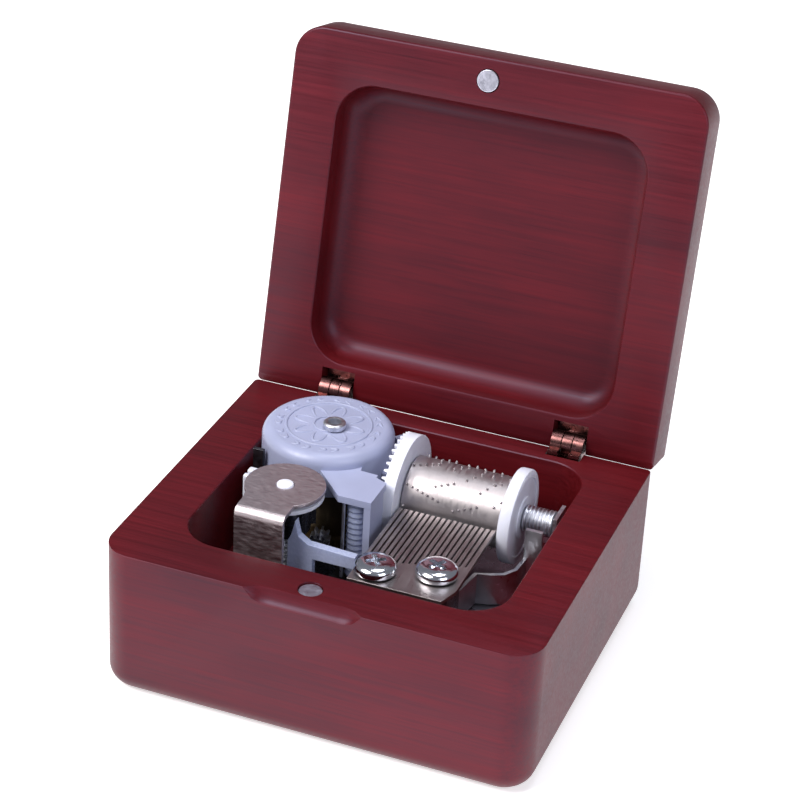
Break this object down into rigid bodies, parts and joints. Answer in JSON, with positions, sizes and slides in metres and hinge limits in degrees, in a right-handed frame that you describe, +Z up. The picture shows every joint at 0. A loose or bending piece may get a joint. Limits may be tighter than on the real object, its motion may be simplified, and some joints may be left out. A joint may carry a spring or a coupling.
{
  "type": "music box",
  "caption": "Wind-up music box: a lacquered wooden box with a magnetic hinged lid, and a comb movement with pinned cylinder, spring motor and air governor in its pocket",
  "frame": {"origin": "centre of the base's flat underside", "axes": "+X runs along the front edge to the right, +Y from the finger notch to the hinges, +Z up"},
  "size_m": [0.09, 0.1052, 0.1091],
  "materials": {
    "mahogany": "satin lacquer over red stain",
    "bronze": "polished",
    "magnet": "nickel plated",
    "cast_plate": "smooth grey casting",
    "comb_steel": "ground",
    "screw_zinc": "bright zinc",
    "steel": "bright",
    "spring_steel": "blued",
    "nickel": "nickel plated",
    "brass": "plain",
    "drum": "satin",
    "lavender_plastic": "moulded",
    "white_plastic": "moulded",
    "clear_plastic": "translucent blue-white",
    "black_plastic": "moulded"
  },
  "bodies": {
    "base": {"base_box": "mahogany", "base_magnet": "magnet", "hinge_fork_left": "bronze", "hinge_fork_right": "bronze", "hinge_pin_left": "bronze", "hinge_pin_right": "bronze", "bedplate": "cast_plate", "comb": "comb_steel", "comb_screw_1": "screw_zinc", "comb_screw_2": "screw_zinc", "fixing_screw_1": "screw_zinc", "fixing_screw_2": "screw_zinc", "fixing_screw_3": "screw_zinc", "spring_housing": "lavender_plastic", "housing_clip": "spring_steel", "bridge_pin": "steel", "cylinder_bracket": "steel", "governor_bracket": "nickel", "bracket_screw": "screw_zinc", "pivot_bearing": "white_plastic", "governor_frame": "clear_plastic", "governor_post": "white_plastic", "ribbed_post": "clear_plastic"},
    "lid": {"lid": "mahogany", "lid_magnet": "magnet", "hinge_tongue_left": "bronze", "hinge_tongue_right": "bronze"},
    "cylinder": {"music_cylinder": "drum", "cylinder_gear": "white_plastic", "cylinder_end_cap": "white_plastic", "cylinder_arbor": "steel", "arbor_spring": "steel"},
    "barrel": {"drive_gear": "brass", "mainspring": "spring_steel"},
    "wheel": {"worm_wheel": "black_plastic", "wheel_pinion": "steel", "wheel_arbor": "steel"},
    "fly": {"worm": "steel", "fly_fan": "black_plastic", "fly_disc": "white_plastic", "fly_shaft": "steel"},
    "key": {"winding_key": "screw_zinc", "winding_arbor": "steel"}
  },
  "joints": [
    {"name": "lid_hinge", "type": "hinge", "parent": "base", "child": "lid", "pos_m": [0, 0.0394, 0.03362], "axis": [1, 0, 0], "range_deg": [0, 102.8]},
    {"name": "cylinder_spin", "type": "hinge", "parent": "base", "child": "cylinder", "pos_m": [0, 0.016, 0.0282], "axis": [1, 0, 0], "continuous": true},
    {"name": "barrel_spin", "type": "hinge", "parent": "base", "child": "barrel", "pos_m": [-0.0176, 0.016, 0.0179], "axis": [0, 0, 1], "continuous": true},
    {"name": "wheel_spin", "type": "hinge", "parent": "base", "child": "wheel", "pos_m": [-0.01256, -0.00557, 0.0206], "axis": [0.2273, -0.9738, 0], "continuous": true},
    {"name": "fly_spin", "type": "hinge", "parent": "base", "child": "fly", "pos_m": [-0.0187, -0.007, 0.0206], "axis": [0, 0, 1], "continuous": true},
    {"name": "key_wind", "type": "hinge", "parent": "base", "child": "key", "pos_m": [-0.0176, 0.016, 0.005], "axis": [0, 0, 1], "range_deg": [0, 1800]}
  ],
  "couplings": [
    {"joint": "barrel_spin", "follows": "cylinder_spin", "ratio": 0.75},
    {"joint": "wheel_spin", "follows": "cylinder_spin", "ratio": 5.625},
    {"joint": "fly_spin", "follows": "cylinder_spin", "ratio": 135}
  ]
}
